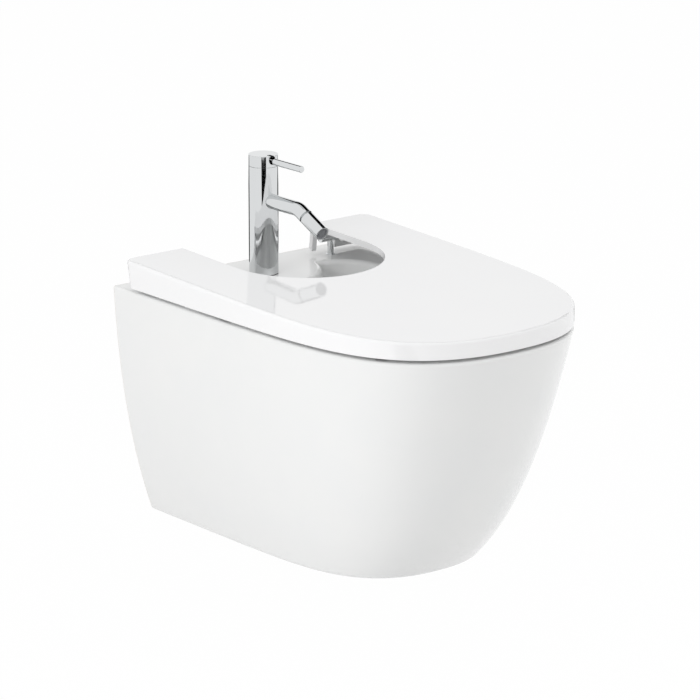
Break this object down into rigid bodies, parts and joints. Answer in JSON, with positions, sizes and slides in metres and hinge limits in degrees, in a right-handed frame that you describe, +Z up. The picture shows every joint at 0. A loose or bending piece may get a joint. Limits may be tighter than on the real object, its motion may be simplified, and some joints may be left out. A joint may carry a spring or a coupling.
{
  "type": "wall-hung bidet",
  "caption": "Wall-hung ceramic bidet with a D-shaped body, a hinged cover cut out round a single-lever tap with a swivel nozzle, a push waste and a bottle trap.",
  "frame": {"origin": "on the wall plane, midway between the two wall stud holes", "axes": "+Y into the wall, +Z up, -Y towards the user, +X to the right of a person facing the bidet"},
  "size_m": [0.3816, 0.5441, 0.453],
  "materials": {
    "glazed_china": "glossy white glaze",
    "cover_thermoset": "glossy white",
    "chrome": "polished chrome on brass",
    "brass": "turned",
    "steel": "zinc plated",
    "rubber": "matte",
    "white_plastic": "satin white",
    "grey_plastic": "satin grey",
    "disc_ceramic": "lapped"
  },
  "bodies": {
    "bowl": {"ceramic_bowl": "glazed_china", "hinge_post_left": "chrome", "hinge_post_right": "chrome", "tap_body": "chrome", "spout": "chrome", "waste_flange": "chrome", "cartridge_nut": "chrome", "hinge_cone_nuts": "brass", "waste_back_nut": "brass", "wall_washers": "steel", "clamp_plate": "steel", "tap_stud": "steel", "stud_nut": "steel", "hinge_sleeves": "rubber", "tap_base_seal": "rubber", "cartridge_seals": "rubber", "clamp_pad": "rubber", "waste_seal": "rubber", "waste_gasket": "rubber", "trap_cup_seal": "rubber", "outlet_seal": "rubber", "wall_bushes": "white_plastic", "cartridge_housing": "white_plastic", "trap_dip_tube": "white_plastic", "trap_inlet_nut": "white_plastic", "trap_bottle": "white_plastic", "trap_cup": "white_plastic", "outlet_pipe": "white_plastic", "outlet_nut": "white_plastic", "fixed_disc": "disc_ceramic"},
    "cover": {"cover": "cover_thermoset", "cover_bumpers": "rubber", "hinge_damper_left": "grey_plastic", "hinge_damper_right": "grey_plastic"},
    "mixer": {"stem_carrier": "white_plastic", "pivot_pin": "steel", "mixer_cap": "chrome"},
    "lever": {"lever_stem": "steel", "lever": "chrome", "lever_grub_screw": "steel"},
    "slider": {"moving_disc": "disc_ceramic"},
    "swivel": {"swivel_ball": "chrome"},
    "aerator": {"aerator_housing": "chrome", "aerator_seal": "rubber", "aerator_insert": "grey_plastic"},
    "plug": {"waste_plug": "chrome", "plug_spindle": "brass"}
  },
  "joints": [
    {"name": "cover_hinge", "type": "hinge", "parent": "bowl", "child": "cover", "pos_m": [0, -0.044, 0.112], "axis": [-1, 0, 0], "range_deg": [0, 92]},
    {"name": "mixer_turn", "type": "hinge", "parent": "bowl", "child": "mixer", "pos_m": [0, -0.066, 0.09], "axis": [0, 0, 1], "range_deg": [-45, 45]},
    {"name": "lever_lift", "type": "hinge", "parent": "mixer", "child": "lever", "pos_m": [0, -0.066, 0.21865], "axis": [-1, 0, 0], "range_deg": [0, 12]},
    {"name": "disc_slide", "type": "slide", "parent": "mixer", "child": "slider", "axis": [0, -1, 0], "range_m": [0, 0.00291]},
    {"name": "aerator_tilt", "type": "hinge", "parent": "bowl", "child": "swivel", "pos_m": [0, -0.15228, 0.17735], "axis": [1, 0, 0], "range_deg": [-10, 10]},
    {"name": "aerator_swing", "type": "hinge", "parent": "swivel", "child": "aerator", "pos_m": [0, -0.15228, 0.17735], "axis": [0, -0.4384, 0.8988], "range_deg": [-10, 10]},
    {"name": "plug_push", "type": "slide", "parent": "bowl", "child": "plug", "axis": [0, 0, 1], "range_m": [0, 0.008]}
  ],
  "couplings": [
    {"joint": "disc_slide", "follows": "lever_lift", "m_per_rad": 0.013898}
  ]
}
